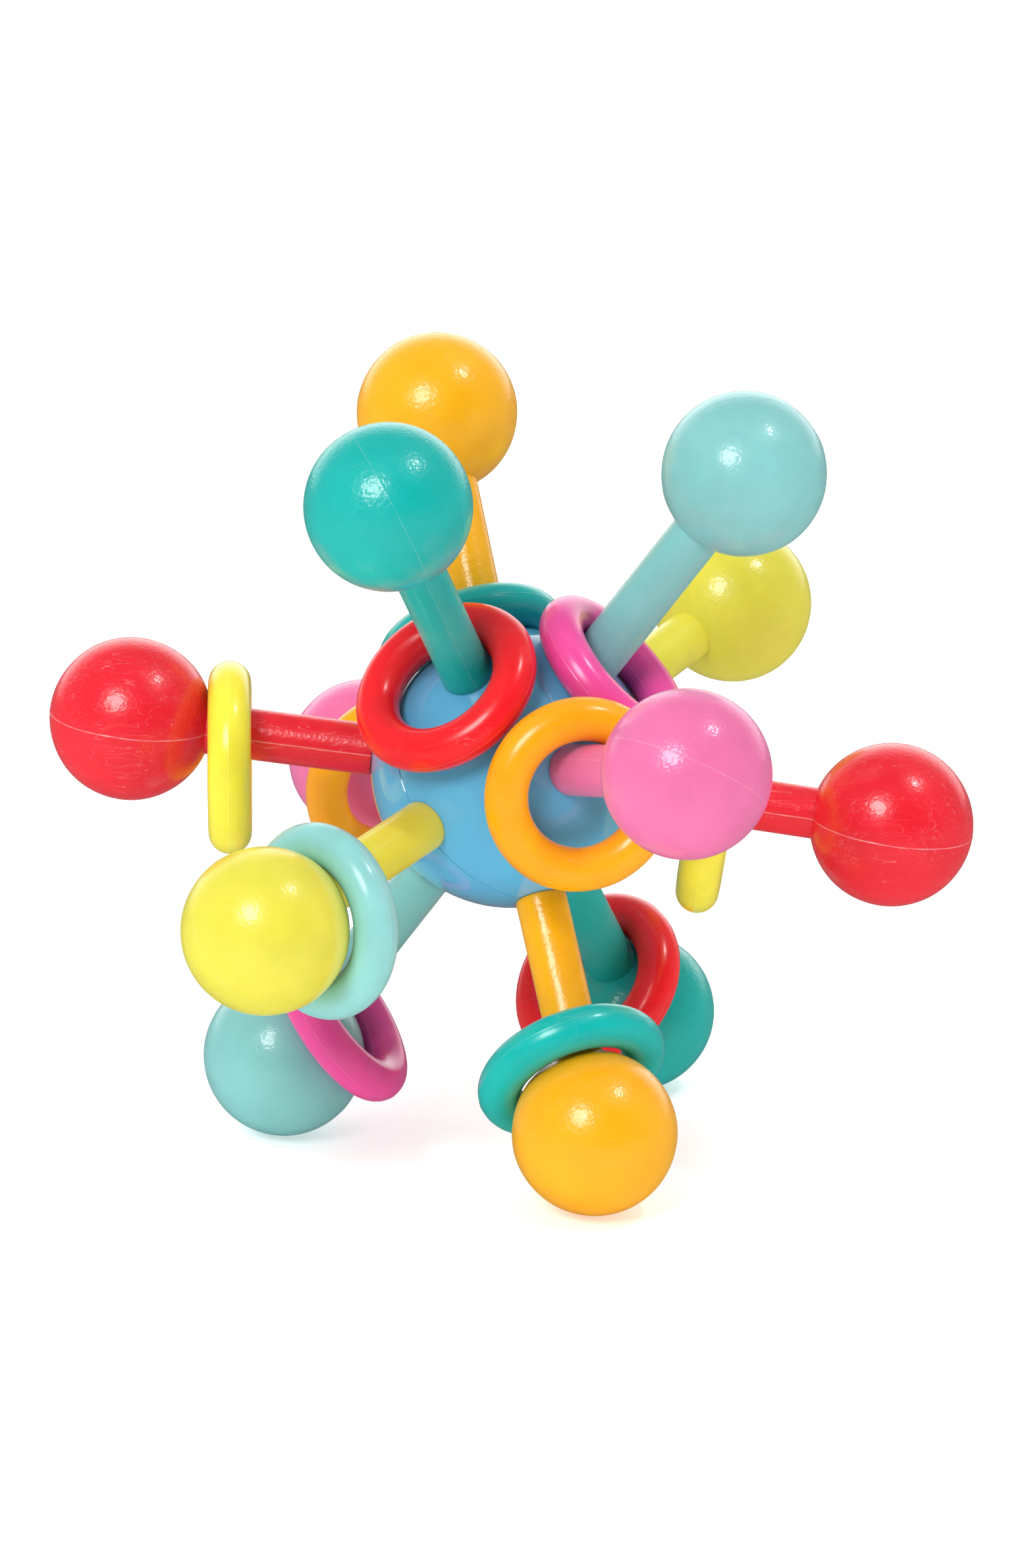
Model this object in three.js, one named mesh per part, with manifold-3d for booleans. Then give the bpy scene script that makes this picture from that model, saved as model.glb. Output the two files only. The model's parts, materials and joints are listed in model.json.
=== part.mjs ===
// A ball-and-stem baby rattle: a hollow core with loose beads in it, twelve soft arms
// that each end in a ball, and one loose ring on every arm.
// Millimetres, +Z up. The origin is the centre of the core. The rattle stands on three balls.
import * as THREE from 'three';
import { mergeVertices } from 'three/addons/utils/BufferGeometryUtils.js';
import Module from 'manifold-3d';

const wasm = await Module();
wasm.setup();

const DEG = Math.PI / 180;

// Hollow core, moulded as two half shells that meet on one flat joint.
const CORE_RADIUS = 17.2;
const CORE_WALL = 2;
const CORE_INNER_RADIUS = CORE_RADIUS - CORE_WALL;
const SEAM_GAP = 0.3;
const LIP_HEIGHT = 1.2;
const LIP_WALL = 0.8;
const SOCKET_RADIUS = 2.5;

// Arms. Distances along an arm are counted from the centre of the core.
const ARM_REACH = 47;
const BALL_RADIUS = 10;
const STEM_RADIUS = 3.15;
const NECK_RADIUS = 2.15;
const HEAD_RADIUS = 3.4;
const HEAD_TIP_RADIUS = 1.8;
const FIT_GAP = 0.3;
const HEAD_LENGTH = 3.2;

// Rings.
const RING_RADIUS = 9.2;
const RING_TUBE_RADIUS = 2.65;

// Beads.
const BEAD_RADIUS = 2;
const BEAD_CIRCLE_RADIUS = 4.7;
const BEAD_GAP = 0.25;

// Facets of the round shapes.
const CORE_SIDES = 30;
const CORE_ARC_STEPS = 7;
const ARM_SIDES = 16;
const BALL_ARC_STEPS = 8;
const SOCKET_SIDES = 12;
const RING_SIDES = 20;
const TUBE_SIDES = 8;
const BEAD_SIDES = 10;
const BEAD_RINGS = 7;

const COLOURS = {
  core: 0x69afd7,
  orange: 0xffb428,
  teal: 0x00a896,
  aqua: 0x87d0cb,
  yellow: 0xefe83c,
  red: 0xf02d3c,
  pink: 0xf37db4,
  magenta: 0xeb55a5,
  bead: 0xf2efe6,
};

const VINYL_ROUGHNESS = 0.4;
const SHELL_ROUGHNESS = 0.15;
const RING_ROUGHNESS = 0.25;

// The arms lie close to the six axes of an icosahedron that stands on one face. Each soft arm
// droops or leans a degree or two. Azimuth runs from +X towards +Y, elevation up from level.
const ARMS = {
  orange_top: { colour: 'orange', azimuth: 116, elevation: 54.5 },
  teal_top: { colour: 'teal', azimuth: 240, elevation: 54.5 },
  aqua_top: { colour: 'aqua', azimuth: 359, elevation: 54.5 },
  yellow_back: { colour: 'yellow', azimuth: 56.5, elevation: 14.5 },
  red_left: { colour: 'red', azimuth: 180, elevation: 5 },
  pink_front: { colour: 'pink', azimuth: 300.5, elevation: 14.5 },
  red_right: { colour: 'red', azimuth: 359, elevation: -6 },
  pink_back: { colour: 'pink', azimuth: 118, elevation: -14 },
  yellow_front: { colour: 'yellow', azimuth: 235.5, elevation: -12.5 },
  aqua_bottom: { colour: 'aqua', azimuth: 181.5, elevation: -54.5 },
  orange_bottom: { colour: 'orange', azimuth: 298, elevation: -54.5 },
  teal_bottom: { colour: 'teal', azimuth: 56.5, elevation: -54.5 },
};

// Where each loose ring lies on its arm. `along` is the distance of its centre from the core's
// centre, measured down the arm. `drop` and `side` are how far its centre is off the arm's axis,
// downhill and sideways. `pitch` and `yaw` lean its axis off the arm's axis, in degrees.
const RINGS = {
  orange_top: { colour: 'teal', along: 17.5, drop: 3, side: 0.6, pitch: 10, yaw: 2 },
  teal_top: { colour: 'red', along: 17.8, drop: 2.9, side: -1.2, pitch: 8, yaw: -5 },
  aqua_top: { colour: 'magenta', along: 17.5, drop: 2.8, side: -1.4, pitch: 9, yaw: -5 },
  yellow_back: { colour: 'aqua', along: 19.7, drop: 2.9, side: 0.5, pitch: 10, yaw: -7 },
  red_left: { colour: 'yellow', along: 34.4, drop: 3.2, side: 0.4, pitch: 6, yaw: 6 },
  pink_front: { colour: 'orange', along: 20.7, drop: 2.8, side: -1, pitch: 9, yaw: -12 },
  red_right: { colour: 'yellow', along: 24.9, drop: 2.9, side: 1.2, pitch: 1, yaw: 0 },
  pink_back: { colour: 'orange', along: 35.7, drop: 2.6, side: 1.4, pitch: -19, yaw: 5 },
  yellow_front: { colour: 'aqua', along: 38.3, drop: 2.6, side: 1.2, pitch: -15, yaw: -7 },
  aqua_bottom: { colour: 'magenta', along: 38.4, drop: 2.5, side: 0.7, pitch: -17, yaw: -5 },
  orange_bottom: { colour: 'teal', along: 38.2, drop: 2.8, side: 0.1, pitch: -18, yaw: 1 },
  teal_bottom: { colour: 'red', along: 38.3, drop: 2.6, side: 0.8, pitch: -18, yaw: -6 },
};

function material(colour, roughness) {
  return new THREE.MeshStandardMaterial({ color: COLOURS[colour], roughness, metalness: 0 });
}

function part(name, geometry, colour, roughness) {
  const mesh = new THREE.Mesh(geometry, material(colour, roughness));
  mesh.name = name;
  return mesh;
}

// A point of a lathe profile: distance from the axis, then height along it.
function point(radius, height) {
  return new THREE.Vector2(radius, height);
}

// Height at which a sphere centred on the axis has the given radius.
function sphereHeight(sphereRadius, radius) {
  return Math.sqrt(sphereRadius * sphereRadius - radius * radius);
}

// Points on a sphere's outline, from one angle to another. Angles start at the lathe's axis.
function arc(sphereRadius, centreHeight, fromAngle, toAngle, steps) {
  const points = [];
  for (let i = 0; i <= steps; i += 1) {
    const angle = fromAngle + ((toAngle - fromAngle) * i) / steps;
    const radius = i === steps && toAngle === 0 ? 0 : sphereRadius * Math.sin(angle);
    points.push(point(radius, centreHeight + sphereRadius * Math.cos(angle)));
  }
  return points;
}

// A solid of revolution about +Z. The profile runs from bottom to top on its outer side.
function revolve(profile, sides) {
  const geometry = new THREE.LatheGeometry(profile, sides);
  geometry.rotateX(Math.PI / 2);
  return geometry;
}

// Unit vector of an arm.
function armDirection({ azimuth, elevation }) {
  const level = Math.cos(elevation * DEG);
  return new THREE.Vector3(
    level * Math.cos(azimuth * DEG),
    level * Math.sin(azimuth * DEG),
    Math.sin(elevation * DEG),
  );
}

// A group whose +Z points out along the arm and whose +X points downhill, square to the arm.
function armFrame({ azimuth, elevation }) {
  const frame = new THREE.Group();
  frame.rotation.set(0, Math.PI / 2 - elevation * DEG, azimuth * DEG, 'ZYX');
  return frame;
}

// Closed mesh to manifold solid, without the empty triangles at a lathe's poles.
function toSolid(geometry) {
  const bare = geometry.clone();
  bare.deleteAttribute('normal');
  bare.deleteAttribute('uv');
  const merged = mergeVertices(bare, 1e-5);
  const index = merged.index.array;
  const triangles = [];
  for (let i = 0; i < index.length; i += 3) {
    const [a, b, c] = [index[i], index[i + 1], index[i + 2]];
    if (a !== b && b !== c && c !== a) {
      triangles.push(a, b, c);
    }
  }
  return new wasm.Manifold(new wasm.Mesh({
    numProp: 3,
    vertProperties: new Float32Array(merged.attributes.position.array),
    triVerts: new Uint32Array(triangles),
  }));
}

function toGeometry(solid) {
  const mesh = solid.getMesh();
  const geometry = new THREE.BufferGeometry();
  geometry.setAttribute('position', new THREE.BufferAttribute(mesh.vertProperties, mesh.numProp));
  geometry.setIndex(new THREE.BufferAttribute(mesh.triVerts, 1));
  return geometry;
}

// Half shell with the tongue: a thin lip on the inner side that reaches across the joint.
function tongueProfile() {
  const rim = SEAM_GAP / 2;
  const lipOuter = CORE_INNER_RADIUS + LIP_WALL;
  return [
    ...arc(CORE_INNER_RADIUS, 0, 0, Math.PI / 2, CORE_ARC_STEPS),
    point(CORE_INNER_RADIUS, -LIP_HEIGHT),
    point(lipOuter, -LIP_HEIGHT),
    point(lipOuter, rim),
    point(CORE_RADIUS, rim),
    ...arc(CORE_RADIUS, 0, Math.PI / 2, 0, CORE_ARC_STEPS).slice(1),
  ];
}

// Half shell with the groove: its inner side is cut back around the other shell's lip.
function grooveProfile() {
  const rim = -SEAM_GAP / 2;
  const grooveRadius = CORE_INNER_RADIUS + LIP_WALL + FIT_GAP;
  const grooveFloor = -LIP_HEIGHT - FIT_GAP;
  const outer = arc(CORE_RADIUS, 0, Math.PI / 2, 0, CORE_ARC_STEPS).slice(1);
  const inner = arc(CORE_INNER_RADIUS, 0, 0, Math.PI / 2, CORE_ARC_STEPS).slice(0, -1);
  const innerEdge = sphereHeight(CORE_INNER_RADIUS, -grooveFloor);
  return [
    ...outer.reverse().map((p) => point(p.x, -p.y)),
    point(CORE_RADIUS, rim),
    point(grooveRadius, rim),
    point(grooveRadius, grooveFloor),
    point(innerEdge, grooveFloor),
    ...inner.reverse().map((p) => point(p.x, -p.y)),
  ];
}

// The joint's plane holds the orange and the yellow arms, so their sockets are split by it.
function seamNormal() {
  const yellow = armDirection(ARMS.yellow_back);
  const orange = armDirection(ARMS.orange_top);
  return yellow.cross(orange).normalize();
}

// Twelve round holes through the wall, one on each arm's axis.
function socketCutters() {
  const length = CORE_RADIUS;
  return Object.values(ARMS).map((arm) => {
    const cutter = new THREE.CylinderGeometry(SOCKET_RADIUS, SOCKET_RADIUS, length, SOCKET_SIDES);
    cutter.rotateX(Math.PI / 2);
    cutter.translate(0, 0, CORE_RADIUS / 2 + length / 2);
    const frame = armFrame(arm);
    frame.updateMatrixWorld();
    cutter.applyMatrix4(frame.matrixWorld);
    return toSolid(cutter);
  });
}

function coreShell(name, profile) {
  const shell = revolve(profile, CORE_SIDES);
  const turn = new THREE.Quaternion().setFromUnitVectors(new THREE.Vector3(0, 0, 1), seamNormal());
  shell.applyQuaternion(turn);
  let solid = toSolid(shell);
  for (const cutter of socketCutters()) {
    solid = solid.subtract(cutter);
  }
  return part(name, toGeometry(solid), 'core', SHELL_ROUGHNESS);
}

// One arm in one piece, from its tip inside the core to its ball: a barbed head that holds it
// behind the wall, a neck through the socket, the stem and the ball.
function armProfile() {
  const headBack = sphereHeight(CORE_INNER_RADIUS, HEAD_RADIUS) - FIT_GAP;
  const shoulder = sphereHeight(CORE_RADIUS, NECK_RADIUS) + FIT_GAP;
  const joinAngle = Math.PI - Math.asin(STEM_RADIUS / BALL_RADIUS);
  return [
    point(0, headBack - HEAD_LENGTH),
    point(HEAD_TIP_RADIUS, headBack - HEAD_LENGTH),
    point(HEAD_RADIUS, headBack - FIT_GAP),
    point(HEAD_RADIUS, headBack),
    point(NECK_RADIUS, headBack),
    point(NECK_RADIUS, shoulder),
    point(STEM_RADIUS, shoulder),
    ...arc(BALL_RADIUS, ARM_REACH, joinAngle, 0, BALL_ARC_STEPS),
  ];
}

function arm(key) {
  const spec = ARMS[key];
  const frame = armFrame(spec);
  frame.add(part(`arm_${key}`, revolve(armProfile(), ARM_SIDES), spec.colour, VINYL_ROUGHNESS));
  return frame;
}

function ring(key) {
  const spec = RINGS[key];
  const geometry = new THREE.TorusGeometry(RING_RADIUS, RING_TUBE_RADIUS, TUBE_SIDES, RING_SIDES);
  const mesh = part(`ring_${key}`, geometry, spec.colour, RING_ROUGHNESS);
  mesh.position.set(spec.drop, spec.side, spec.along);
  mesh.rotation.set(-spec.yaw * DEG, spec.pitch * DEG, 0);
  const frame = armFrame(ARMS[key]);
  frame.add(mesh);
  return frame;
}

// Beads lie in the bottom of the hollow: one in the middle and three around it.
function bead(name, x, y) {
  const geometry = new THREE.SphereGeometry(BEAD_RADIUS, BEAD_SIDES, BEAD_RINGS);
  const mesh = part(name, geometry, 'bead', RING_ROUGHNESS);
  const reach = CORE_INNER_RADIUS - BEAD_RADIUS - BEAD_GAP;
  mesh.position.set(x, y, -Math.sqrt(reach * reach - x * x - y * y));
  return mesh;
}

const BEAD_AZIMUTHS = { bead_right: 0, bead_back: 120, bead_front: 240 };

const rattle = new THREE.Group();
rattle.add(coreShell('core_shell_tongue', tongueProfile()));
rattle.add(coreShell('core_shell_groove', grooveProfile()));
for (const key of Object.keys(ARMS)) {
  rattle.add(arm(key));
  rattle.add(ring(key));
}
rattle.add(bead('bead_middle', 0, 0));
for (const [name, azimuth] of Object.entries(BEAD_AZIMUTHS)) {
  const x = BEAD_CIRCLE_RADIUS * Math.cos(azimuth * DEG);
  const y = BEAD_CIRCLE_RADIUS * Math.sin(azimuth * DEG);
  rattle.add(bead(name, x, y));
}

export default rattle;
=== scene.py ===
# A ball-and-stem baby rattle, in metres: a glossy hollow core, twelve soft arms and a loose ring on each.
import json
import math

import bmesh
import bpy
import numpy as np
from mathutils import Matrix, Vector, noise


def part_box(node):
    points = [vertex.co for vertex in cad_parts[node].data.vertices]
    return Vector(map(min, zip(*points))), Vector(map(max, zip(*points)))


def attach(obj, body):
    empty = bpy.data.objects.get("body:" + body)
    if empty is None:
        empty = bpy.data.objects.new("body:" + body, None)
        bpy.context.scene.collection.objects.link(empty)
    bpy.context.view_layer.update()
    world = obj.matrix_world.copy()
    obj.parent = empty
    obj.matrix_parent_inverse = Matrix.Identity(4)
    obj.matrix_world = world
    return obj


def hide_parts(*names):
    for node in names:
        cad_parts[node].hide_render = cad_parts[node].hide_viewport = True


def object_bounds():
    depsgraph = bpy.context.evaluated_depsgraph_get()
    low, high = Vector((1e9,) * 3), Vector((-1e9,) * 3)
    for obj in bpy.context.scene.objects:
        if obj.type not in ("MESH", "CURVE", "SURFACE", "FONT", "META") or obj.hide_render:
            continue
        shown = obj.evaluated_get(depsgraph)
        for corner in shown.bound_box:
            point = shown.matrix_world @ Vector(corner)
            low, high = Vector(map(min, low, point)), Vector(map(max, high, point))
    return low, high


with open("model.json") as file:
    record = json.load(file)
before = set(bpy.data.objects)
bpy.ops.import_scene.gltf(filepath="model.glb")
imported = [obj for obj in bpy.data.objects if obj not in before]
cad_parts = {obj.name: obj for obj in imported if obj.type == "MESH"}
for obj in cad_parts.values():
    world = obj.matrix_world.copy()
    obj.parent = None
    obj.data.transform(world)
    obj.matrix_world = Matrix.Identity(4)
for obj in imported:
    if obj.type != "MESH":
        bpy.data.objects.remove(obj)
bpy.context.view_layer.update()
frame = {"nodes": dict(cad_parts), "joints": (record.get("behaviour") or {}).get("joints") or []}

MM = 0.001

# Core and arm sizes, the same as the CAD model's.
CORE_RADIUS = 17.2 * MM
CORE_INNER_RADIUS = 15.2 * MM
SOCKET_RADIUS = 2.5 * MM
LIP_HEIGHT = 1.2 * MM
LIP_WALL = 0.8 * MM
FIT_GAP = 0.3 * MM
ARM_REACH = 47 * MM
BALL_RADIUS = 10 * MM
STEM_RADIUS = 3.15 * MM
NECK_RADIUS = 2.15 * MM
HEAD_RADIUS = 3.4 * MM
HEAD_TIP_RADIUS = 1.8 * MM
HEAD_BACK = 14.5 * MM
HEAD_LENGTH = 3.2 * MM
RING_RADIUS = 9.2 * MM
RING_TUBE_RADIUS = 2.65 * MM
BEAD_RADIUS = 2 * MM

# Core joint: the shells' edges are eased, and a hairline is left between them.
SEAM_GAP = 0.08 * MM
SEAM_EASE = 0.09 * MM

# Foot of a stem: it follows the core's surface a hair above it, and its edge is eased.
FOOT_GAP = 0.03 * MM
FOOT_ROUND = 0.12 * MM
FOOT_ROUND_MIDDLE = 0.3
FOOT_STEPS = 5

# Mould line: a fine raised line where the two halves of a mould met.
LINE_HALF_WIDTH = 0.11 * MM
ARM_LINE_HEIGHT = 0.06 * MM
RING_LINE_HEIGHT = 0.05 * MM
LINE_WANDER = 0.035 * MM
LINE_WANDER_LENGTH = 4 * MM

# Mesh rows beside a mould line, as shares of its half width, and how clear of them the even rows keep.
LINE_ROW_SHARES = (0, 0.45, 0.8, 1.15, 2.2)
LINE_ROW_CLEARANCE = 1.6

# A line's height along its piece: its middle value, how far it varies and over what length. On an arm
# it doubles at the foot of the stem, and falls back over ARM_FLASH_FOOT.
ARM_FLASH = (0.75, 0.55, 0.9 * MM)
ARM_FLASH_FOOT = 0.35 * MM
RING_FLASH = (0.7, 0.6, 1.2 * MM)
BEAD_LINE_SHARE = 0.5

# How far hand-moulded soft pieces stray from their true shape.
ARM_WAVE = 0.045 * MM
ARM_WAVE_LENGTH = 6 * MM
RING_WAVE = 0.03 * MM
RING_WAVE_LENGTH = 5 * MM
BEAD_WAVE = 0.009 * MM
BEAD_WAVE_LENGTH = 1.5 * MM

# Offsets that give every piece and every use of the noise its own pattern.
SEED_STEPS = (7.3, 3.1, 5.7)
ARM_WANDER_SEED = 40
ARM_FLASH_SEED = 20
RING_WANDER_SEED = 30
RING_FLASH_SEED = 10

# Where an arm's own shape begins, and where its ball gives way to its stem, as shares of a radius.
FOOT_START = 0.96
BALL_SURFACE = 0.995

# Mesh steps.
CORE_ARC_STEPS = 72
CORE_INNER_STEPS = 40
CORE_ROUND_STEPS = 160
SOCKET_STEPS = 48
BALL_ROWS = 120
BALL_ROUND_STEPS = 144
STEM_ROUND_STEPS = 64
STEM_ROWS = 40
RING_ROUND_STEPS = 168
RING_TUBE_STEPS = 40
BEAD_ROWS = 40
BEAD_ROUND_STEPS = 48

# A row this narrow is a ball's pole.
POLE_WIDTH = 1e-6

# Creases are kept where faces meet at more than these angles, in degrees.
PIECE_CREASE = 40
CORE_CREASE = 35
ARM_CREASE = 32

# The way each arm was pushed in: the turn of its mould line about the arm, in degrees.
LINE_TURNS = {
    "orange_top": 158,
    "teal_top": -38,
    "aqua_top": -76,
    "yellow_back": -129,
    "red_left": 2,
    "pink_front": -31,
    "red_right": -2,
    "pink_back": 100,
    "yellow_front": 127,
    "aqua_bottom": 98,
    "orange_bottom": -156,
    "teal_bottom": -52,
}

# How plain each arm's mould line is, on its ball and on its stem: its height, and how strongly it is painted
# paler, partly as painted highlight. The red pair's was trimmed least.
LINE_SHARES = {"red": (1.0, 0.9), "teal": (0.25, 1.1), "pink": (0.45, 1.1), "aqua": (0.55, 0.6)}
OTHER_LINE_SHARES = (0.35, 0.4)

RING_COLOURS = {
    "orange_top": "teal",
    "teal_top": "red",
    "aqua_top": "magenta",
    "yellow_back": "aqua",
    "red_left": "yellow",
    "pink_front": "orange",
    "red_right": "yellow",
    "pink_back": "orange",
    "yellow_front": "aqua",
    "aqua_bottom": "magenta",
    "orange_bottom": "teal",
    "teal_bottom": "red",
}

# How scratched and how grainy each colour of soft vinyl is.
VINYL_WEAR = {
    "orange": (0.25, 1.1),
    "teal": (0.2, 1.5),
    "aqua": (0.25, 1.0),
    "yellow": (0.2, 1.0),
    "red": (1.0, 0.9),
    "pink": (0.25, 1.2),
}

# Linear base colours.
CORE_COLOUR = (0.12, 0.46, 0.74)
BEAD_COLOUR = (0.86, 0.83, 0.76)
VINYL_COLOURS = {
    "orange": (0.97, 0.45, 0.0),
    "teal": (0.0, 0.43, 0.39),
    "aqua": (0.22, 0.55, 0.54),
    "yellow": (0.77, 0.70, 0.06),
    "red": (0.80, 0.008, 0.024),
    "pink": (0.79, 0.16, 0.37),
}
RING_COLOUR_VALUES = {
    "orange": (0.98, 0.39, 0.0),
    "teal": (0.0, 0.46, 0.42),
    "aqua": (0.27, 0.62, 0.60),
    "yellow": (0.90, 0.80, 0.05),
    "red": (0.88, 0.008, 0.015),
    "magenta": (0.88, 0.075, 0.35),
}

# Scratches: three sets that run different ways, each from noise stretched along them.
SCRATCH_TURNS = ((0.3, 0.9, 0.2), (1.4, 0.2, 0.8), (0.7, 1.9, 1.3))
SCRATCH_STRETCH = (0.12, 1.6, 1.0)
SCRATCH_PER_METRE = 900
SCRATCH_PATCH_PER_METRE = 260
SCRATCH_PATCH_EDGE = 0.08
SCRATCH_TINT = 0.16
CORE_SCRATCH_TINT = 0.08

# Noise values between which mottling runs from its darkest to its lightest.
NOISE_LOW = 0.3
NOISE_HIGH = 0.7
GRAIN_PER_METRE = 1900
# How much paler the mould line is painted: partly the thin flash's own paler tone, partly a painted
# highlight where the raised line catches light.
VINYL_LINE_PALE_AND_SHEEN = 0.30
RING_LINE_PALE_AND_SHEEN = 0.07
RING_SCRATCH_SHARE = 0.6
WHITE = (1, 1, 1, 1)
BLACK = (0, 0, 0, 1)

# Camera: a long lens about 0.84 m away.
CAMERA_AZIMUTH = 3.84
CAMERA_ELEVATION = 16.64
CAMERA_ROLL = 1.43
CAMERA_DISTANCE = 0.836
CAMERA_TARGET_DROP = 0.00203
LENS_MM = 156.9
SENSOR_MM = 36
CLIP_START = 0.05
CLIP_END = 30

# Studio. Light directions are right, up and towards the camera, as it sees them.
KEY_DIRECTION = (-0.33, 0.40, 0.86)
KEY_DISTANCE = 1.3
KEY_SIZE = 0.52
KEY_POWER = 9.2
SPOT_DIRECTION = (0.49, 0.80, 0.34)
SPOT_DISTANCE = 1.3
SPOT_SIZE = 0.14
SPOT_POWER = 2.8
FLOOR_SIZE = 12
FLOOR_COLOUR = (0.9, 0.9, 0.9, 1)
FLOOR_ROUGHNESS = 0.9
FLOOR_SPECULAR = 0.1
FLOOR_GLOW = 0.42
FLOOR_MIRRORED = 0.12
TENT_BACK = 1.25
TENT_FRONT = 0.22
TENT_SPAN = (-0.2, 0.9)
BACKDROP_MIRRORED = 1.9
DARK_MIRRORED = 0.08
MIRRORED_SPAN = (-0.93, -0.35)


# ---------------------------------------------------------------- mesh helpers

def mesh_object(name, bm, smooth_angle=PIECE_CREASE):
    """A smooth-shaded object from a bmesh, with creases where faces meet at more than smooth_angle."""
    bmesh.ops.recalc_face_normals(bm, faces=bm.faces)
    mesh = bpy.data.meshes.new(name)
    bm.to_mesh(mesh)
    bm.free()
    mesh.shade_smooth()
    mesh.set_sharp_from_angle(angle=math.radians(smooth_angle))
    obj = bpy.data.objects.new(name, mesh)
    bpy.context.scene.collection.objects.link(obj)
    return obj


def full_turn(steps):
    """Angles of even steps round a circle."""
    return [2 * math.pi * i / steps for i in range(steps)]


def lathe(profile, angles):
    """A closed bmesh of revolution about +Z. profile: (radius, height) pairs, from axis to axis."""
    bm = bmesh.new()
    rows = []
    for radius, height in profile:
        if radius == 0:
            rows.append([bm.verts.new((0, 0, height))])
        else:
            rows.append([bm.verts.new((radius * math.cos(a), radius * math.sin(a), height)) for a in angles])
    count = len(angles)
    for low, high in zip(rows, rows[1:]):
        for i in range(count):
            j = (i + 1) % count
            corners = [low[i % len(low)], low[j % len(low)], high[j % len(high)], high[i % len(high)]]
            unique = list(dict.fromkeys(corners))
            if len(unique) > 2:
                bm.faces.new(unique)
    return bm


def arc(radius, start, end, steps, centre_height=0):
    """(radius, height) pairs on a circle about the axis; angles in radians from the +Z pole."""
    points = []
    for i in range(steps + 1):
        angle = start + (end - start) * i / steps
        points.append((radius * math.sin(angle), centre_height + radius * math.cos(angle)))
    return points


def line_offsets():
    """Distances from a mould line at which a mesh row is needed to show its shape."""
    return [LINE_HALF_WIDTH * s for s in LINE_ROW_SHARES]


def rows_with_lines(radius, even_steps, line_angles):
    """Angles round a circle: even steps, plus close rows beside each mould line."""
    offsets = line_offsets()
    near = []
    for centre in line_angles:
        for offset in offsets:
            near.append(centre + offset / radius)
            near.append(centre - offset / radius)
    clear = LINE_ROW_CLEARANCE * offsets[-1] / radius
    turn = 2 * math.pi
    kept = []
    for angle in full_turn(even_steps):
        gaps = [abs((angle - c + math.pi) % turn - math.pi) for c in line_angles]
        if min(gaps) > clear:
            kept.append(angle)
    wrapped = [a % turn for a in near + kept]
    return sorted(set(round(a, 9) for a in wrapped))


def boolean(target, tool, operation):
    """target's mesh joined with or cut by tool's; the tool is removed."""
    modifier = target.modifiers.new("cut", "BOOLEAN")
    modifier.operation = operation
    modifier.solver = "EXACT"
    modifier.object = tool
    bpy.context.view_layer.update()
    evaluated = target.evaluated_get(bpy.context.evaluated_depsgraph_get())
    made = bpy.data.meshes.new_from_object(evaluated)
    target.modifiers.clear()
    old = target.data
    target.data = made
    bpy.data.meshes.remove(old)
    bpy.data.objects.remove(tool)
    return target


def reshape(obj, move, smooth_angle=PIECE_CREASE):
    """Moves every vertex. move(point) gives its new place, and how far it is up a mould line, 0 to 1."""
    mesh = obj.data
    points = np.empty(len(mesh.vertices) * 3, np.float32)
    mesh.vertices.foreach_get("co", points)
    moved = [move(Vector(p)) for p in points.reshape(-1, 3)]
    places = np.array([place for place, _ in moved], np.float32)
    mesh.vertices.foreach_set("co", places.ravel())
    # Kept for the materials, which paint the line paler: partly its own tone, partly a painted highlight.
    line = mesh.attributes.new("mould_line", "FLOAT", "POINT")
    line.data.foreach_set("value", np.array([share for _, share in moved], np.float32))
    mesh.shade_smooth()
    mesh.set_sharp_from_angle(angle=math.radians(smooth_angle))
    mesh.update()


def ridge(distance):
    """Height of a mould line's cross-section, 1 on the line and 0 beside it."""
    share = min(1.0, abs(distance) / LINE_HALF_WIDTH)
    return (1 - share * share) ** 2


def ragged(point, seed, length):
    """Smooth noise from -1 to 1 that changes over the given length."""
    return noise.noise(point / length + Vector([seed * step for step in SEED_STEPS]))


# ---------------------------------------------------------------- materials

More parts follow.
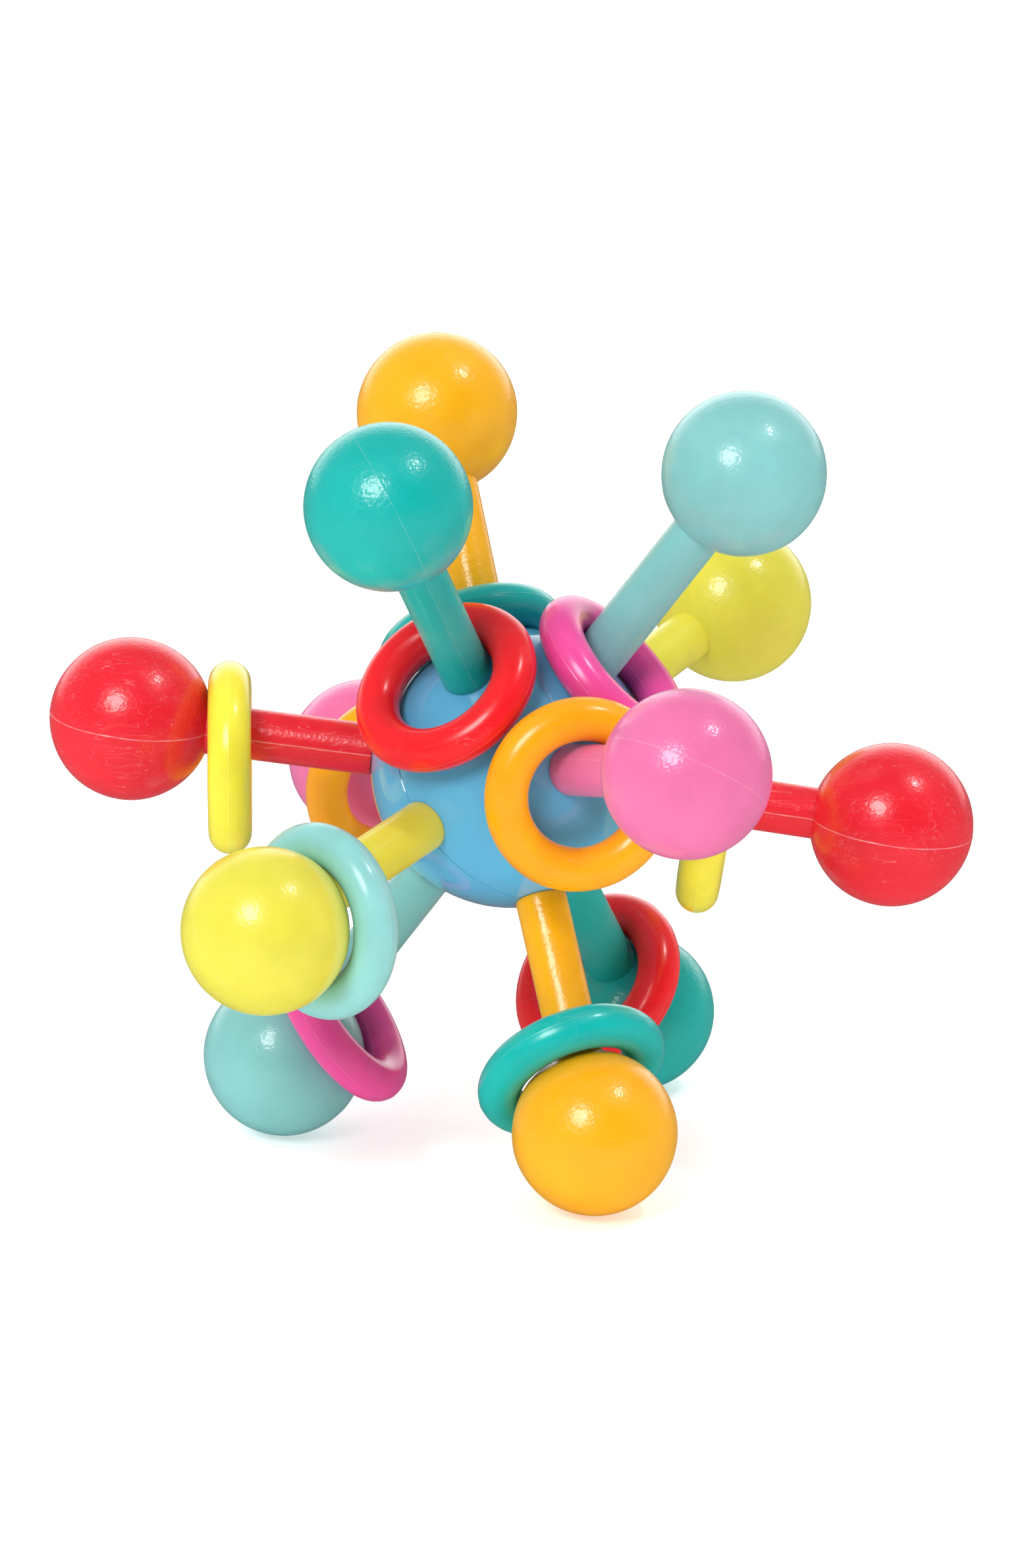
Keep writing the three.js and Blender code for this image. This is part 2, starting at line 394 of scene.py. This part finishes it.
class Graph:
    """Short forms for building one material's nodes."""

    def __init__(self, name):
        self.material = bpy.data.materials.new(name)
        self.material.use_nodes = True
        self.nodes = self.material.node_tree.nodes
        self.links = self.material.node_tree.links
        self.shader = self.nodes["Principled BSDF"]
        self.position = self.nodes.new("ShaderNodeTexCoord").outputs["Object"]

    def link(self, value, socket):
        if isinstance(value, bpy.types.NodeSocket):
            self.links.new(value, socket)
        else:
            socket.default_value = value

    def math(self, operation, a, b=0.0, c=0.0, clamp=False):
        node = self.nodes.new("ShaderNodeMath")
        node.operation = operation
        node.use_clamp = clamp
        for value, socket in zip((a, b, c), node.inputs):
            self.link(value, socket)
        return node.outputs[0]

    def mapped(self, turn, stretch):
        node = self.nodes.new("ShaderNodeMapping")
        self.links.new(self.position, node.inputs["Vector"])
        node.inputs["Rotation"].default_value = turn
        node.inputs["Scale"].default_value = stretch
        return node.outputs[0]

    def noise(self, per_metre, detail=2.0, roughness=0.5, vector=None, distortion=0.0):
        node = self.nodes.new("ShaderNodeTexNoise")
        self.links.new(vector or self.position, node.inputs["Vector"])
        node.inputs["Scale"].default_value = per_metre
        node.inputs["Detail"].default_value = detail
        node.inputs["Roughness"].default_value = roughness
        node.inputs["Distortion"].default_value = distortion
        return node.outputs["Fac"]

    def remap(self, value, low, high, to_low, to_high):
        node = self.nodes.new("ShaderNodeMapRange")
        self.link(value, node.inputs["Value"])
        node.inputs["From Min"].default_value = low
        node.inputs["From Max"].default_value = high
        node.inputs["To Min"].default_value = to_low
        node.inputs["To Max"].default_value = to_high
        return node.outputs[0]

    def mix(self, share, first, second):
        node = self.nodes.new("ShaderNodeMix")
        node.data_type = "RGBA"
        self.link(share, node.inputs[0])
        self.link(first, node.inputs[6])
        self.link(second, node.inputs[7])
        return node.outputs[2]

    def bump(self, height, distance, strength, normal=None):
        node = self.nodes.new("ShaderNodeBump")
        node.inputs["Strength"].default_value = strength
        node.inputs["Distance"].default_value = distance
        self.link(height, node.inputs["Height"])
        if normal is not None:
            self.link(normal, node.inputs["Normal"])
        return node.outputs[0]

    def set(self, **sockets):
        for name, value in sockets.items():
            self.link(value, self.shader.inputs[name.replace("_", " ")])


def shaded(colour, gain):
    """The colour, lighter or darker, as RGBA."""
    return (*[min(1.0, c * gain) for c in colour], 1)


def hairline(graph, turn, width, cover):
    """Thin curved scratches: the narrow band where stretched noise crosses its middle, in patches."""
    vector = graph.mapped(turn, SCRATCH_STRETCH)
    field = graph.noise(SCRATCH_PER_METRE, detail=1, vector=vector, distortion=0.15)
    off = graph.math("ABSOLUTE", graph.math("SUBTRACT", field, 0.5))
    line = graph.remap(off, 0.0, width, 1.0, 0.0)
    spread = graph.noise(SCRATCH_PATCH_PER_METRE, detail=1, vector=vector)
    patch = graph.remap(spread, cover, cover + SCRATCH_PATCH_EDGE, 0.0, 1.0)
    return graph.math("MULTIPLY", line, patch, clamp=True)


def scratches(graph, width, cover):
    """Three sets of fine scratches that run different ways. A lower cover spreads them further."""
    sets = [hairline(graph, turn, width, cover) for turn in SCRATCH_TURNS]
    both = graph.math("MAXIMUM", sets[0], sets[1])
    return graph.math("MAXIMUM", both, sets[2])


def worn_colour_and_line_sheen(graph, colour, mottle, lines, line_pale_and_sheen):
    """The colour with faint mottling, pale scratches and a paler mould line, painted partly as the thin
    flash's own tone and partly as a painted highlight where the raised line catches light.
    """
    share = graph.remap(mottle, NOISE_LOW, NOISE_HIGH, 0.0, 1.0)
    tone = graph.mix(share, shaded(colour, 0.95), shaded(colour, 1.05))
    scratched = graph.mix(graph.math("MULTIPLY", lines, SCRATCH_TINT), tone, WHITE)
    # Mould line mixed towards white: partly its own paler tone, partly a painted highlight.
    attribute = graph.nodes.new("ShaderNodeAttribute")
    attribute.attribute_name = "mould_line"
    tint = graph.math("MULTIPLY", attribute.outputs["Fac"], line_pale_and_sheen, clamp=True)
    return graph.mix(tint, scratched, WHITE)


def polish(graph, coat, coat_roughness, specular):
    """Strength and polish of a finish's clear skin, and of the reflection under it."""
    graph.shader.inputs["Coat Weight"].default_value = coat
    graph.shader.inputs["Coat Roughness"].default_value = coat_roughness
    graph.shader.inputs["Specular IOR Level"].default_value = specular


def glow_inside(graph, weight, depth):
    """Light that scatters under the surface, to the given depth."""
    graph.shader.inputs["Subsurface Weight"].default_value = weight
    graph.shader.inputs["Subsurface Radius"].default_value = (1.0, 0.8, 0.7)
    graph.shader.inputs["Subsurface Scale"].default_value = depth


def vinyl(name, colour, scratched, grainy):
    """Soft satin vinyl: a grain that breaks highlights up, a few pale scratches, a little light inside."""
    g = Graph(name)
    mottle = g.noise(170, detail=3, roughness=0.55)
    lines = g.math("MULTIPLY", scratches(g, width=0.007, cover=0.57 - 0.07 * scratched), scratched)
    # The mould line is painted paler here, partly its own tone and partly a painted highlight.
    g.set(Base_Color=worn_colour_and_line_sheen(g, colour, mottle, lines, VINYL_LINE_PALE_AND_SHEEN))
    g.set(Roughness=g.remap(mottle, NOISE_LOW, NOISE_HIGH, 0.28, 0.36))
    grain = g.bump(g.noise(GRAIN_PER_METRE, detail=1), 0.05 * grainy * MM, 0.9)
    normal = g.bump(g.noise(320, detail=2), 0.05 * MM, 0.3, normal=grain)
    g.set(Normal=normal, Coat_Normal=normal)
    glow_inside(g, weight=0.12, depth=1.2 * MM)
    polish(g, coat=0.35, coat_roughness=0.12, specular=0.5)
    return g.material


def ring_plastic(name, colour):
    """Glossy moulded plastic with fine hairlines from handling."""
    g = Graph(name)
    mottle = g.noise(220, detail=2)
    lines = g.math("MULTIPLY", scratches(g, width=0.004, cover=0.59), RING_SCRATCH_SHARE)
    # The mould line is painted paler here, partly its own tone and partly a painted highlight.
    g.set(Base_Color=worn_colour_and_line_sheen(g, colour, mottle, lines, RING_LINE_PALE_AND_SHEEN))
    rough = g.remap(g.noise(600, detail=3), NOISE_LOW, NOISE_HIGH, 0.30, 0.36)
    g.set(Roughness=g.math("ADD", rough, g.math("MULTIPLY", lines, 0.22), clamp=True))
    grain = g.bump(g.noise(GRAIN_PER_METRE, detail=1), 0.012 * MM, 0.6)
    normal = g.bump(g.noise(260, detail=1), 0.10 * MM, 0.25, normal=grain)
    g.set(Normal=normal, Coat_Normal=normal)
    glow_inside(g, weight=0.08, depth=1.0 * MM)
    polish(g, coat=0.6, coat_roughness=0.2, specular=0.25)
    return g.material


def core_plastic(name, colour):
    """Hard high-gloss plastic: nearly clean, with the faint ripple of a moulding."""
    g = Graph(name)
    lines = scratches(g, width=0.003, cover=0.58)
    tone = g.mix(g.noise(120, detail=2), shaded(colour, 0.96), shaded(colour, 1.04))
    g.set(Base_Color=g.mix(g.math("MULTIPLY", lines, CORE_SCRATCH_TINT), tone, WHITE))
    rough = g.remap(g.noise(500, detail=2), NOISE_LOW, NOISE_HIGH, 0.10, 0.14)
    g.set(Roughness=g.math("ADD", rough, g.math("MULTIPLY", lines, 0.15), clamp=True))
    normal = g.bump(g.noise(180, detail=1), 0.08 * MM, 0.15)
    g.set(Normal=normal, Coat_Normal=normal)
    polish(g, coat=1.0, coat_roughness=0.03, specular=0.3)
    return g.material


# ---------------------------------------------------------------- core

def seam_normal(directions):
    """Normal of the core's joint, whose plane holds the orange and the yellow arms."""
    return directions["yellow_back"].cross(directions["orange_top"]).normalized()


def half_outer(rim):
    """Outside of a half shell, from its eased rim to its pole."""
    start = math.pi / 2 - (rim + SEAM_EASE) / CORE_RADIUS
    return [(CORE_RADIUS - SEAM_EASE, rim)] + arc(CORE_RADIUS, start, 0, CORE_ARC_STEPS)


def tongue_profile():
    """Section of the half shell whose lip reaches into the other."""
    lip_outer = CORE_INNER_RADIUS + LIP_WALL
    return [
        *arc(CORE_INNER_RADIUS, 0, math.pi / 2, CORE_INNER_STEPS),
        (CORE_INNER_RADIUS, -LIP_HEIGHT),
        (lip_outer, -LIP_HEIGHT),
        (lip_outer, SEAM_GAP / 2),
        *half_outer(SEAM_GAP / 2),
    ]


def groove_profile():
    """Section of the half shell that takes the lip."""
    groove = CORE_INNER_RADIUS + LIP_WALL + FIT_GAP
    floor = LIP_HEIGHT + FIT_GAP
    inner = arc(CORE_INNER_RADIUS, 0, math.acos(floor / CORE_INNER_RADIUS), CORE_INNER_STEPS)
    return [
        *inner,
        (groove, floor),
        (groove, SEAM_GAP / 2),
        *half_outer(SEAM_GAP / 2),
    ]


def on_axis(profile):
    """The same profile with its two ends exactly on the axis."""
    return [(0, profile[0][1]), *profile[1:-1], (0, profile[-1][1])]


def socket_tool(directions):
    """Twelve round cutters in one mesh, one along each arm."""
    bm = bmesh.new()
    for direction in directions.values():
        turn = direction.to_track_quat("Z", "Y").to_matrix().to_4x4()
        place = Matrix.Translation(direction * CORE_RADIUS) @ turn
        bmesh.ops.create_cone(
            bm, cap_ends=True, segments=SOCKET_STEPS, radius1=SOCKET_RADIUS, radius2=SOCKET_RADIUS,
            depth=CORE_RADIUS, matrix=place,
        )
    return mesh_object("socket_tool", bm)


def core_half(name, profile, normal, directions, material, node):
    half = mesh_object(name, lathe(on_axis(profile), full_turn(CORE_ROUND_STEPS)))
    half.data.transform(normal.to_track_quat("Z", "Y").to_matrix().to_4x4())
    boolean(half, socket_tool(directions), "DIFFERENCE")
    half.data.shade_smooth()
    half.data.set_sharp_from_angle(angle=math.radians(CORE_CREASE))
    dress(half, material, "core", node)


# ---------------------------------------------------------------- arms

def lined_ball(radius, rows, round_steps):
    """A ball about +Z with close rows beside its equator, where its mould line runs."""
    latitudes = [a for a in rows_with_lines(radius, rows, (math.pi / 2,)) if a < math.pi]
    profile = [(radius * math.sin(a), radius * math.cos(a)) for a in reversed(latitudes)]
    profile = [(0, -radius)] + [p for p in profile if p[0] > POLE_WIDTH] + [(0, radius)]
    return lathe(profile, full_turn(round_steps))


def arm_blank():
    """Ball and stem in one mesh along +Z. The mould line lies in the plane x = 0."""
    line = math.pi / 2
    ball = mesh_object("arm_ball", lined_ball(BALL_RADIUS, BALL_ROWS, BALL_ROUND_STEPS))
    ball.data.transform(Matrix.Rotation(math.pi / 2, 4, "Y"))
    ball.data.transform(Matrix.Translation((0, 0, ARM_REACH)))
    stem_rows = rows_with_lines(STEM_RADIUS, STEM_ROUND_STEPS, (line, -line))
    stem = mesh_object("arm_stem", lathe(stem_profile(), stem_rows))
    return boolean(ball, stem, "UNION")


def stem_profile():
    """Barbed head, neck, a foot shaped to the core, and the stem up into the ball."""
    top = ARM_REACH - BALL_RADIUS / 2
    sphere = CORE_RADIUS + FOOT_GAP
    foot = []
    for i in range(FOOT_STEPS + 1):
        radius = NECK_RADIUS + (STEM_RADIUS - FOOT_ROUND - NECK_RADIUS) * i / FOOT_STEPS
        foot.append((radius, math.sqrt(sphere * sphere - radius * radius)))
    edge = foot[-1][1]
    eased = FOOT_ROUND * FOOT_ROUND_MIDDLE
    shank = []
    for i in range(STEM_ROWS + 1):
        shank.append((STEM_RADIUS, edge + FOOT_ROUND + (top - edge - FOOT_ROUND) * i / STEM_ROWS))
    return [
        (0, HEAD_BACK - HEAD_LENGTH),
        (HEAD_TIP_RADIUS, HEAD_BACK - HEAD_LENGTH),
        (HEAD_RADIUS, HEAD_BACK - FIT_GAP),
        (HEAD_RADIUS, HEAD_BACK),
        (NECK_RADIUS, HEAD_BACK),
        *foot,
        (STEM_RADIUS - eased, edge + eased),
        *shank,
        (0, top),
    ]


def mould_arm(seed, ball_line, stem_line):
    """Gives one arm its own raised mould line and faint unevenness."""
    centre = Vector((0, 0, ARM_REACH))
    middle, swing, length = ARM_FLASH

    def move(point):
        if point.z < CORE_RADIUS * FOOT_START:
            return point, 0.0
        from_ball = point - centre
        on_ball = from_ball.length > BALL_RADIUS * BALL_SURFACE
        out = from_ball.normalized() if on_ball else Vector((point.x, point.y, 0)).normalized()
        wander = LINE_WANDER * ragged(point, seed + ARM_WANDER_SEED, LINE_WANDER_LENGTH)
        flash = middle + swing * ragged(point, seed + ARM_FLASH_SEED, length)
        near_foot = math.exp(-max(0.0, point.z - CORE_RADIUS) / ARM_FLASH_FOOT)
        line = ridge(point.x - wander) * flash * (ball_line if on_ball else stem_line)
        wave = ARM_WAVE * ragged(point, seed, ARM_WAVE_LENGTH)
        return point + out * (ARM_LINE_HEIGHT * line * (1 + near_foot) + wave), line

    return move


def arm_piece(key, blank, direction, material, seed):
    piece = bpy.data.objects.new(f"arm_{key}_moulding", blank.data.copy())
    bpy.context.scene.collection.objects.link(piece)
    colour = arm_colour(key)
    reshape(piece, mould_arm(seed, *LINE_SHARES.get(colour, OTHER_LINE_SHARES)), ARM_CREASE)
    azimuth = math.atan2(direction.y, direction.x)
    lean = math.acos(direction.z)
    turn = Matrix.Rotation(math.radians(LINE_TURNS[key]), 4, "Z")
    piece.data.transform(Matrix.Rotation(azimuth, 4, "Z") @ Matrix.Rotation(lean, 4, "Y") @ turn)
    dress(piece, material, "core", f"arm_{key}")


def arm_colour(key):
    return key.split("_")[0]


# ---------------------------------------------------------------- rings and beads

def torus(radius, tube, round_steps, tube_angles):
    """A closed ring about +Z. Tube angle 0 is its outermost line."""
    bm = bmesh.new()
    loops = []
    for i in range(round_steps):
        a = 2 * math.pi * i / round_steps
        loop = []
        for t in tube_angles:
            reach = radius + tube * math.cos(t)
            loop.append(bm.verts.new((reach * math.cos(a), reach * math.sin(a), tube * math.sin(t))))
        loops.append(loop)
    count = len(tube_angles)
    for loop, following in zip(loops, loops[1:] + loops[:1]):
        for i in range(count):
            j = (i + 1) % count
            bm.faces.new((loop[i], following[i], following[j], loop[j]))
    return bm


def mould_ring(seed):
    """Gives one ring its fine mould line, round the outside and the inside, and faint unevenness."""
    middle, swing, length = RING_FLASH

    def move(point):
        flat = Vector((point.x, point.y, 0))
        out = (point - flat.normalized() * RING_RADIUS).normalized()
        wander = LINE_WANDER * ragged(point, seed + RING_WANDER_SEED, LINE_WANDER_LENGTH)
        flash = middle + swing * ragged(point, seed + RING_FLASH_SEED, length)
        line = ridge(point.z - wander) * flash
        wave = RING_WAVE * ragged(point, seed, RING_WAVE_LENGTH)
        return point + out * (RING_LINE_HEIGHT * line + wave), line

    return move


def node_points(node):
    """Vertices of a CAD node, one row each."""
    mesh = frame["nodes"][node].data
    points = np.empty(len(mesh.vertices) * 3, np.float32)
    mesh.vertices.foreach_get("co", points)
    return points.reshape(-1, 3).astype(float)


def ring_place(node, arm_direction):
    """A ring's centre, and its axis turned to point out along its arm."""
    low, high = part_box(node)
    points = node_points(node)
    middle = points.mean(axis=0)
    spread = np.linalg.eigh(np.cov((points - middle).T))[1]
    axis = Vector(spread[:, 0])
    if axis.dot(arm_direction) < 0:
        axis.negate()
    return (low + high) / 2, axis


def ring_piece(key, direction, material, seed):
    node = f"ring_{key}"
    tube_angles = rows_with_lines(RING_TUBE_RADIUS, RING_TUBE_STEPS, (0, math.pi))
    blank = torus(RING_RADIUS, RING_TUBE_RADIUS, RING_ROUND_STEPS, tube_angles)
    piece = mesh_object(f"{node}_moulding", blank)
    reshape(piece, mould_ring(seed))
    centre, axis = ring_place(node, direction)
    piece.data.transform(Matrix.Translation(centre) @ axis.to_track_quat("Z", "Y").to_matrix().to_4x4())
    dress(piece, material, node, node)


def bead_piece(node, material, seed):
    piece = mesh_object(f"{node}_moulding", lined_ball(BEAD_RADIUS, BEAD_ROWS, BEAD_ROUND_STEPS))

    def move(point):
        line = BEAD_LINE_SHARE * ridge(point.z)
        wave = BEAD_WAVE * ragged(point, seed, BEAD_WAVE_LENGTH)
        return point + point.normalized() * (RING_LINE_HEIGHT * line + wave), line

    reshape(piece, move)
    low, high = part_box(node)
    piece.data.transform(Matrix.Translation((low + high) / 2))
    dress(piece, material, node, node)


def dress(piece, material, body, node):
    """Finish of a piece, the body it moves with and the CAD node it stands for."""
    piece.data.materials.clear()
    piece.data.materials.append(material)
    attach(piece, body)
    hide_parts(node)


# ---------------------------------------------------------------- studio

def camera_axes():
    """Right, up and back of the camera, as unit vectors."""
    a = math.radians(CAMERA_AZIMUTH)
    e = math.radians(CAMERA_ELEVATION)
    roll = math.radians(CAMERA_ROLL)
    back = Vector((math.sin(a) * math.cos(e), -math.cos(a) * math.cos(e), math.sin(e)))
    level_right = (-back).cross(Vector((0, 0, 1))).normalized()
    level_up = level_right.cross(-back)
    right = math.cos(roll) * level_right + math.sin(roll) * level_up
    up = math.cos(roll) * level_up - math.sin(roll) * level_right
    return right, up, back


def add_camera():
    """Camera that looks a little below the rattle's middle."""
    right, up, back = camera_axes()
    camera = bpy.data.objects.new("camera", bpy.data.cameras.new("camera"))
    bpy.context.scene.collection.objects.link(camera)
    place = Matrix((right, up, back)).transposed().to_4x4()
    place.translation = back * CAMERA_DISTANCE - up * CAMERA_TARGET_DROP
    camera.matrix_world = place
    camera.data.sensor_width = SENSOR_MM
    camera.data.lens = LENS_MM
    camera.data.clip_start = CLIP_START
    camera.data.clip_end = CLIP_END
    bpy.context.scene.camera = camera


def add_softbox(name, direction, distance, size, power):
    """A round light that faces the rattle's middle."""
    right, up, back = camera_axes()
    towards = (right * direction[0] + up * direction[1] + back * direction[2]).normalized()
    data = bpy.data.lights.new(name, "AREA")
    data.shape = "DISK"
    data.size = size
    data.energy = power
    light = bpy.data.objects.new(name, data)
    bpy.context.scene.collection.objects.link(light)
    light.location = towards * distance
    light.rotation_mode = "QUATERNION"
    light.rotation_quaternion = towards.to_track_quat("Z", "Y")


def add_floor():
    """White paper under the rattle. It is nearly dark in mirror reflections, so gloss keeps its colour."""
    low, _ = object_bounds()
    bm = bmesh.new()
    bmesh.ops.create_grid(bm, x_segments=1, y_segments=1, size=FLOOR_SIZE / 2)
    floor = mesh_object("floor", bm)
    floor.location.z = low.z
    paper = bpy.data.materials.new("paper")
    paper.use_nodes = True
    shader = paper.node_tree.nodes["Principled BSDF"]
    shader.inputs["Base Color"].default_value = FLOOR_COLOUR
    shader.inputs["Roughness"].default_value = FLOOR_ROUGHNESS
    shader.inputs["Specular IOR Level"].default_value = FLOOR_SPECULAR
    shader.inputs["Emission Color"].default_value = WHITE
    shader.inputs["Emission Strength"].default_value = FLOOR_GLOW
    dim = paper.node_tree.nodes.new("ShaderNodeMixShader")
    path = paper.node_tree.nodes.new("ShaderNodeLightPath")
    share = paper.node_tree.nodes.new("ShaderNodeMath")
    share.operation = "MULTIPLY"
    share.inputs[1].default_value = 1 - FLOOR_MIRRORED
    black = paper.node_tree.nodes.new("ShaderNodeBsdfTransparent")
    black.inputs["Color"].default_value = BLACK
    links = paper.node_tree.links
    links.new(path.outputs["Is Glossy Ray"], share.inputs[0])
    links.new(share.outputs[0], dim.inputs[0])
    links.new(shader.outputs[0], dim.inputs[1])
    links.new(black.outputs[0], dim.inputs[2])
    links.new(dim.outputs[0], paper.node_tree.nodes["Material Output"].inputs["Surface"])
    floor.data.materials.append(paper)


def add_tent():
    """White tent light, dimmer on the camera's side. Mirrored in gloss, only the backdrop is white."""
    world = bpy.data.worlds.new("tent")
    bpy.context.scene.world = world
    world.use_nodes = True
    nodes = world.node_tree.nodes
    links = world.node_tree.links
    coordinates = nodes.new("ShaderNodeTexCoord")
    facing = nodes.new("ShaderNodeVectorMath")
    facing.operation = "DOT_PRODUCT"
    facing.inputs[1].default_value = camera_axes()[2]
    links.new(coordinates.outputs["Generated"], facing.inputs[0])
    path = nodes.new("ShaderNodeLightPath")

    def ramp(start, end, back, front):
        node = nodes.new("ShaderNodeMapRange")
        node.interpolation_type = "SMOOTHSTEP"
        links.new(facing.outputs["Value"], node.inputs["Value"])
        for name, value in zip(("From Min", "From Max", "To Min", "To Max"), (start, end, back, front)):
            node.inputs[name].default_value = value
        return node.outputs[0]

    def either(switch, no, yes):
        node = nodes.new("ShaderNodeMix")
        links.new(path.outputs[switch], node.inputs[0])
        links.new(no, node.inputs[2])
        links.new(yes, node.inputs[3])
        return node.outputs[0]

    white = nodes.new("ShaderNodeValue").outputs[0]
    white.default_value = 1.0
    soft = ramp(*TENT_SPAN, TENT_BACK, TENT_FRONT)
    mirrored = ramp(*MIRRORED_SPAN, BACKDROP_MIRRORED, DARK_MIRRORED)
    level = either("Is Camera Ray", either("Is Glossy Ray", soft, mirrored), white)
    links.new(level, nodes["Background"].inputs["Strength"])
    nodes["Background"].inputs["Color"].default_value = WHITE


# ---------------------------------------------------------------- the rattle

def arm_directions():
    """Unit vector of each arm, from the ring that slides along it."""
    found = {}
    for joint in frame["joints"]:
        if joint["name"].startswith("slide_"):
            found[joint["name"].removeprefix("slide_")] = Vector(joint["axis"]).normalized()
    return found


def build_rattle():
    directions = arm_directions()
    normal = seam_normal(directions)
    gloss = core_plastic("core_gloss_plastic", CORE_COLOUR)
    core_half("core_half_tongue", tongue_profile(), normal, directions, gloss, "core_shell_tongue")
    core_half("core_half_groove", groove_profile(), -normal, directions, gloss, "core_shell_groove")
    vinyls = {c: vinyl(f"{c}_vinyl", value, *VINYL_WEAR[c]) for c, value in VINYL_COLOURS.items()}
    plastics = {c: ring_plastic(f"{c}_ring_plastic", value) for c, value in RING_COLOUR_VALUES.items()}
    blank = arm_blank()
    for seed, (key, direction) in enumerate(directions.items()):
        arm_piece(key, blank, direction, vinyls[arm_colour(key)], seed)
        ring_piece(key, direction, plastics[RING_COLOURS[key]], seed)
    bpy.data.objects.remove(blank)
    bead_gloss = ring_plastic("bead_plastic", BEAD_COLOUR)
    beads = [node for node in frame["nodes"] if node.startswith("bead_")]
    for seed, node in enumerate(sorted(beads)):
        bead_piece(node, bead_gloss, seed)


bpy.context.scene.view_settings.view_transform = "Standard"
build_rattle()
add_camera()
add_floor()
add_tent()
add_softbox("key_softbox", KEY_DIRECTION, KEY_DISTANCE, KEY_SIZE, KEY_POWER)
add_softbox("small_softbox", SPOT_DIRECTION, SPOT_DISTANCE, SPOT_SIZE, SPOT_POWER)
